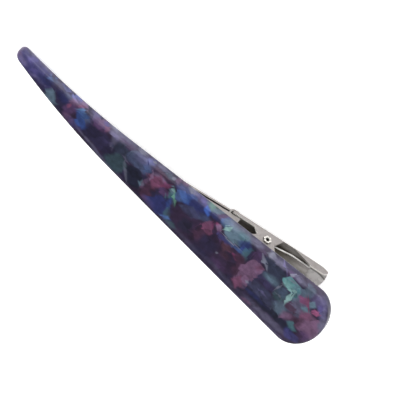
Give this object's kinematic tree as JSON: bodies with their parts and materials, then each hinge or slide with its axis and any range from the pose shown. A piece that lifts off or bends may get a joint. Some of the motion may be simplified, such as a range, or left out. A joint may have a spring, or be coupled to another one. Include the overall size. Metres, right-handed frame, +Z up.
{
  "type": "hair clip",
  "caption": "Long tapered hair clip: a marbled acetate plate over a sprung steel clasp, whose jaws open when the tail is pressed towards the plate.",
  "frame": {"origin": "middle of the bounding box, on the surface that the clip stands on", "axes": "+X along the clip towards its wide end, +Y along the pivot pin, +Z up, out of the plate's face"},
  "size_m": [0.1186, 0.026, 0.0186],
  "materials": {
    "acetate": "polished, marbled in blue, teal and magenta",
    "plated_steel": "nickel-plated pressed sheet",
    "pin_steel": "nickel-plated, rolled rims",
    "spring_steel": "bright rolled strip"
  },
  "bodies": {
    "lower": {"lower_arm": "plated_steel"},
    "upper": {"plate": "acetate", "upper_arm": "plated_steel", "pivot_pin": "pin_steel", "spring": "spring_steel"}
  },
  "joints": [
    {"name": "jaw_pivot", "type": "hinge", "parent": "lower", "child": "upper", "pos_m": [0.03091, 0, 0.00606], "axis": [0, 1, 0], "range_deg": [0, 33], "stiffness_Nm_per_rad": 0.25, "springref_deg": -11.46, "deforming": ["spring"]}
  ]
}
